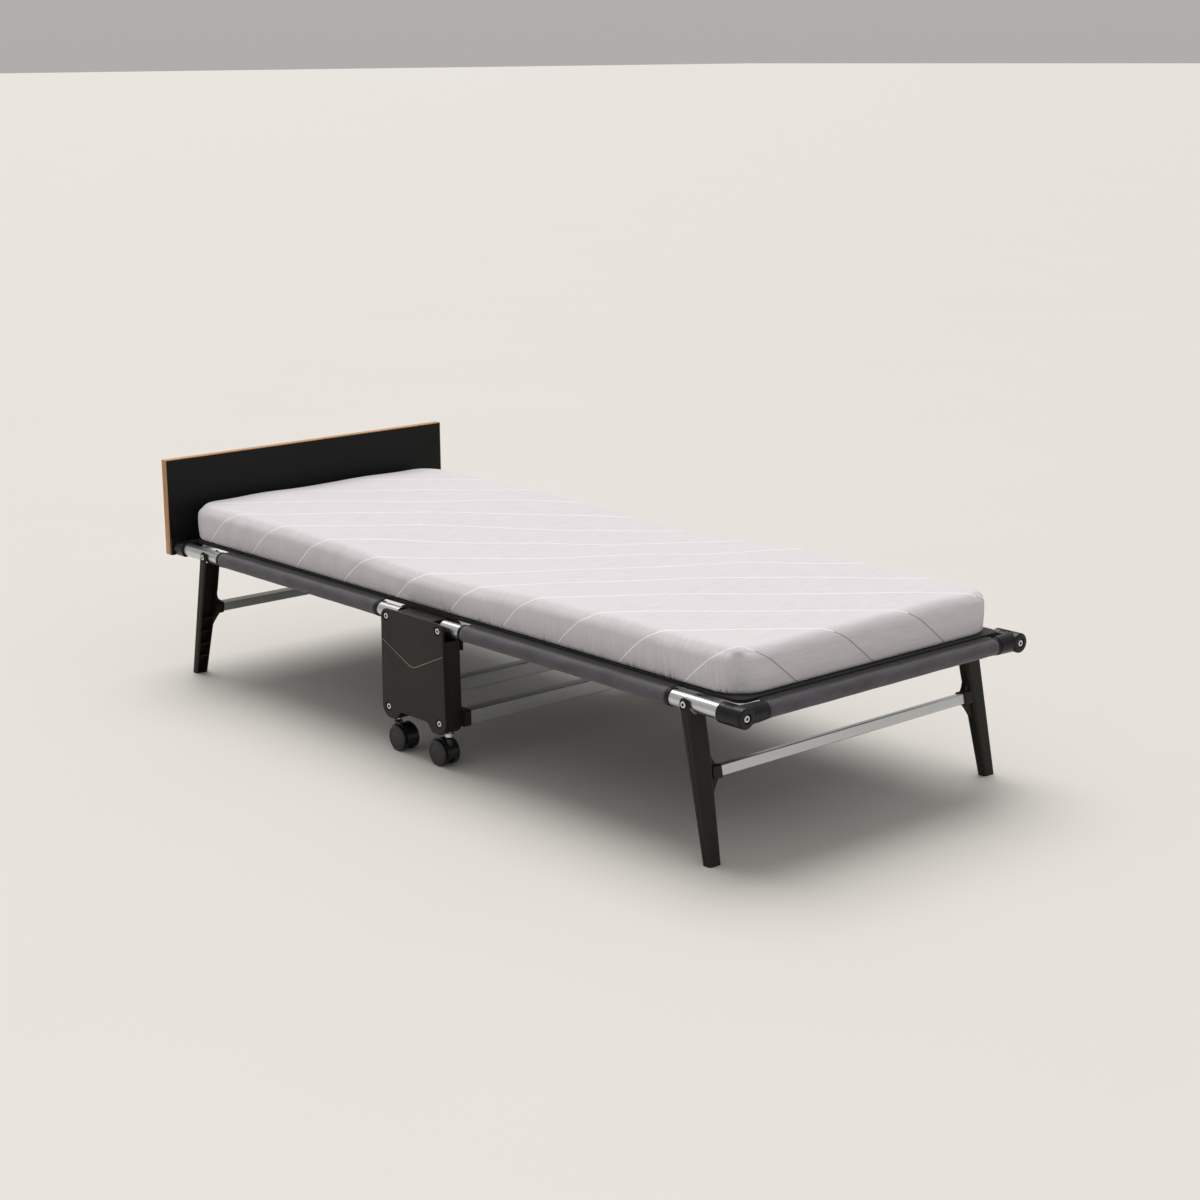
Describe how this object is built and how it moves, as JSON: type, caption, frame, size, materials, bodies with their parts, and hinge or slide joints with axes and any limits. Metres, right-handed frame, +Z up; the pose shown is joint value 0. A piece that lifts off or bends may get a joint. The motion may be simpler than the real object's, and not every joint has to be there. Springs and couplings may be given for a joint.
{
  "type": "folding cot",
  "caption": "Single folding guest bed: tubular frame that folds up at a castor-mounted centre hinge, splayed fold-away legs, low headboard, mesh deck and foam mattress.",
  "frame": {"origin": "on the floor, midway between the back of the headboard and the foot corner faces, on the middle plane", "axes": "+X from headboard to foot end, +Y to the right seen from the foot, +Z up"},
  "size_m": [1.881, 0.802, 0.489],
  "materials": {
    "woven_sleeve": "grey-violet tight plain weave polyester",
    "deck_mesh": "black open mesh",
    "mattress_cover": "pale lilac-white stretch knit with thin ribbon lines",
    "board_laminate": "black melamine laminate",
    "oak_edging": "light oak edge band",
    "inner_plastic": "moulded nylon",
    "satin_aluminium": "satin extruded",
    "zinc_steel": "bright zinc plate",
    "wheel_nylon": "smooth moulded nylon",
    "collar_plastic": "fine matt",
    "moulded_plastic": "fine spark-eroded texture, satin"
  },
  "bodies": {
    "chassis": {"hinge_cover_left": "moulded_plastic", "hinge_cover_right": "moulded_plastic", "hinge_housing_left": "moulded_plastic", "hinge_housing_right": "moulded_plastic", "hinge_cap_left": "moulded_plastic", "hinge_cap_right": "moulded_plastic", "hinge_pins": "zinc_steel", "cover_screws": "zinc_steel", "cross_rail_foot": "satin_aluminium", "cross_rail_head": "satin_aluminium", "cross_rail_sockets": "moulded_plastic", "castor_bushes": "zinc_steel"},
    "head_frame": {"head_rail_left": "satin_aluminium", "head_rail_right": "satin_aluminium", "head_sleeve_left": "woven_sleeve", "head_sleeve_right": "woven_sleeve", "head_collars": "collar_plastic", "head_rail_plugs": "inner_plastic", "head_leg_bolts": "zinc_steel", "head_end_tube": "satin_aluminium", "headboard_bracket_left": "moulded_plastic", "headboard_bracket_right": "moulded_plastic", "headboard": "board_laminate", "headboard_edging": "oak_edging", "head_deck": "deck_mesh", "head_mattress": "mattress_cover"},
    "foot_frame": {"foot_rail_left": "satin_aluminium", "foot_rail_right": "satin_aluminium", "foot_sleeve_left": "woven_sleeve", "foot_sleeve_right": "woven_sleeve", "foot_collars": "collar_plastic", "foot_rail_plugs": "inner_plastic", "foot_leg_bolts": "zinc_steel", "foot_end_tube": "satin_aluminium", "foot_end_sleeve": "woven_sleeve", "foot_end_collars": "collar_plastic", "corner_connector_left": "moulded_plastic", "corner_connector_right": "moulded_plastic", "corner_screws": "zinc_steel", "foot_deck": "deck_mesh", "foot_mattress": "mattress_cover"},
    "head_legs": {"head_leg_left": "moulded_plastic", "head_leg_right": "moulded_plastic", "head_crossbar": "satin_aluminium"},
    "foot_legs": {"foot_leg_left": "moulded_plastic", "foot_leg_right": "moulded_plastic", "foot_crossbar": "satin_aluminium"},
    "castor_head_left": {"castor_hood_head_left": "moulded_plastic", "castor_pins_head_left": "zinc_steel"},
    "wheels_head_left": {"castor_wheels_head_left": "wheel_nylon"},
    "castor_head_right": {"castor_hood_head_right": "moulded_plastic", "castor_pins_head_right": "zinc_steel"},
    "wheels_head_right": {"castor_wheels_head_right": "wheel_nylon"},
    "castor_foot_left": {"castor_hood_foot_left": "moulded_plastic", "castor_pins_foot_left": "zinc_steel"},
    "wheels_foot_left": {"castor_wheels_foot_left": "wheel_nylon"},
    "castor_foot_right": {"castor_hood_foot_right": "moulded_plastic", "castor_pins_foot_right": "zinc_steel"},
    "wheels_foot_right": {"castor_wheels_foot_right": "wheel_nylon"}
  },
  "joints": [
    {"name": "head_fold", "type": "hinge", "parent": "chassis", "child": "head_frame", "pos_m": [-0.0665, 0, 0.284], "axis": [0, 1, 0], "range_deg": [0, 85]},
    {"name": "foot_fold", "type": "hinge", "parent": "chassis", "child": "foot_frame", "pos_m": [0.1055, 0, 0.284], "axis": [0, -1, 0], "range_deg": [0, 85]},
    {"name": "head_leg_fold", "type": "hinge", "parent": "head_frame", "child": "head_legs", "pos_m": [-0.7865, 0, 0.284], "axis": [0, -1, 0], "range_deg": [0, 85]},
    {"name": "foot_leg_fold", "type": "hinge", "parent": "foot_frame", "child": "foot_legs", "pos_m": [0.8025, 0, 0.284], "axis": [0, 1, 0], "range_deg": [0, 85]},
    {"name": "castor_head_left_swivel", "type": "hinge", "parent": "chassis", "child": "castor_head_left", "pos_m": [-0.0665, -0.376, 0.09], "axis": [0, 0, 1], "continuous": true},
    {"name": "wheels_head_left_spin", "type": "hinge", "parent": "castor_head_left", "child": "wheels_head_left", "pos_m": [-0.0485, -0.376, 0.027], "axis": [0, 1, 0], "continuous": true},
    {"name": "castor_head_right_swivel", "type": "hinge", "parent": "chassis", "child": "castor_head_right", "pos_m": [-0.0665, 0.376, 0.09], "axis": [0, 0, 1], "continuous": true},
    {"name": "wheels_head_right_spin", "type": "hinge", "parent": "castor_head_right", "child": "wheels_head_right", "pos_m": [-0.0485, 0.376, 0.027], "axis": [0, 1, 0], "continuous": true},
    {"name": "castor_foot_left_swivel", "type": "hinge", "parent": "chassis", "child": "castor_foot_left", "pos_m": [0.1055, -0.376, 0.09], "axis": [0, 0, 1], "continuous": true},
    {"name": "wheels_foot_left_spin", "type": "hinge", "parent": "castor_foot_left", "child": "wheels_foot_left", "pos_m": [0.0875, -0.376, 0.027], "axis": [0, 1, 0], "continuous": true},
    {"name": "castor_foot_right_swivel", "type": "hinge", "parent": "chassis", "child": "castor_foot_right", "pos_m": [0.1055, 0.376, 0.09], "axis": [0, 0, 1], "continuous": true},
    {"name": "wheels_foot_right_spin", "type": "hinge", "parent": "castor_foot_right", "child": "wheels_foot_right", "pos_m": [0.0875, 0.376, 0.027], "axis": [0, 1, 0], "continuous": true}
  ]
}
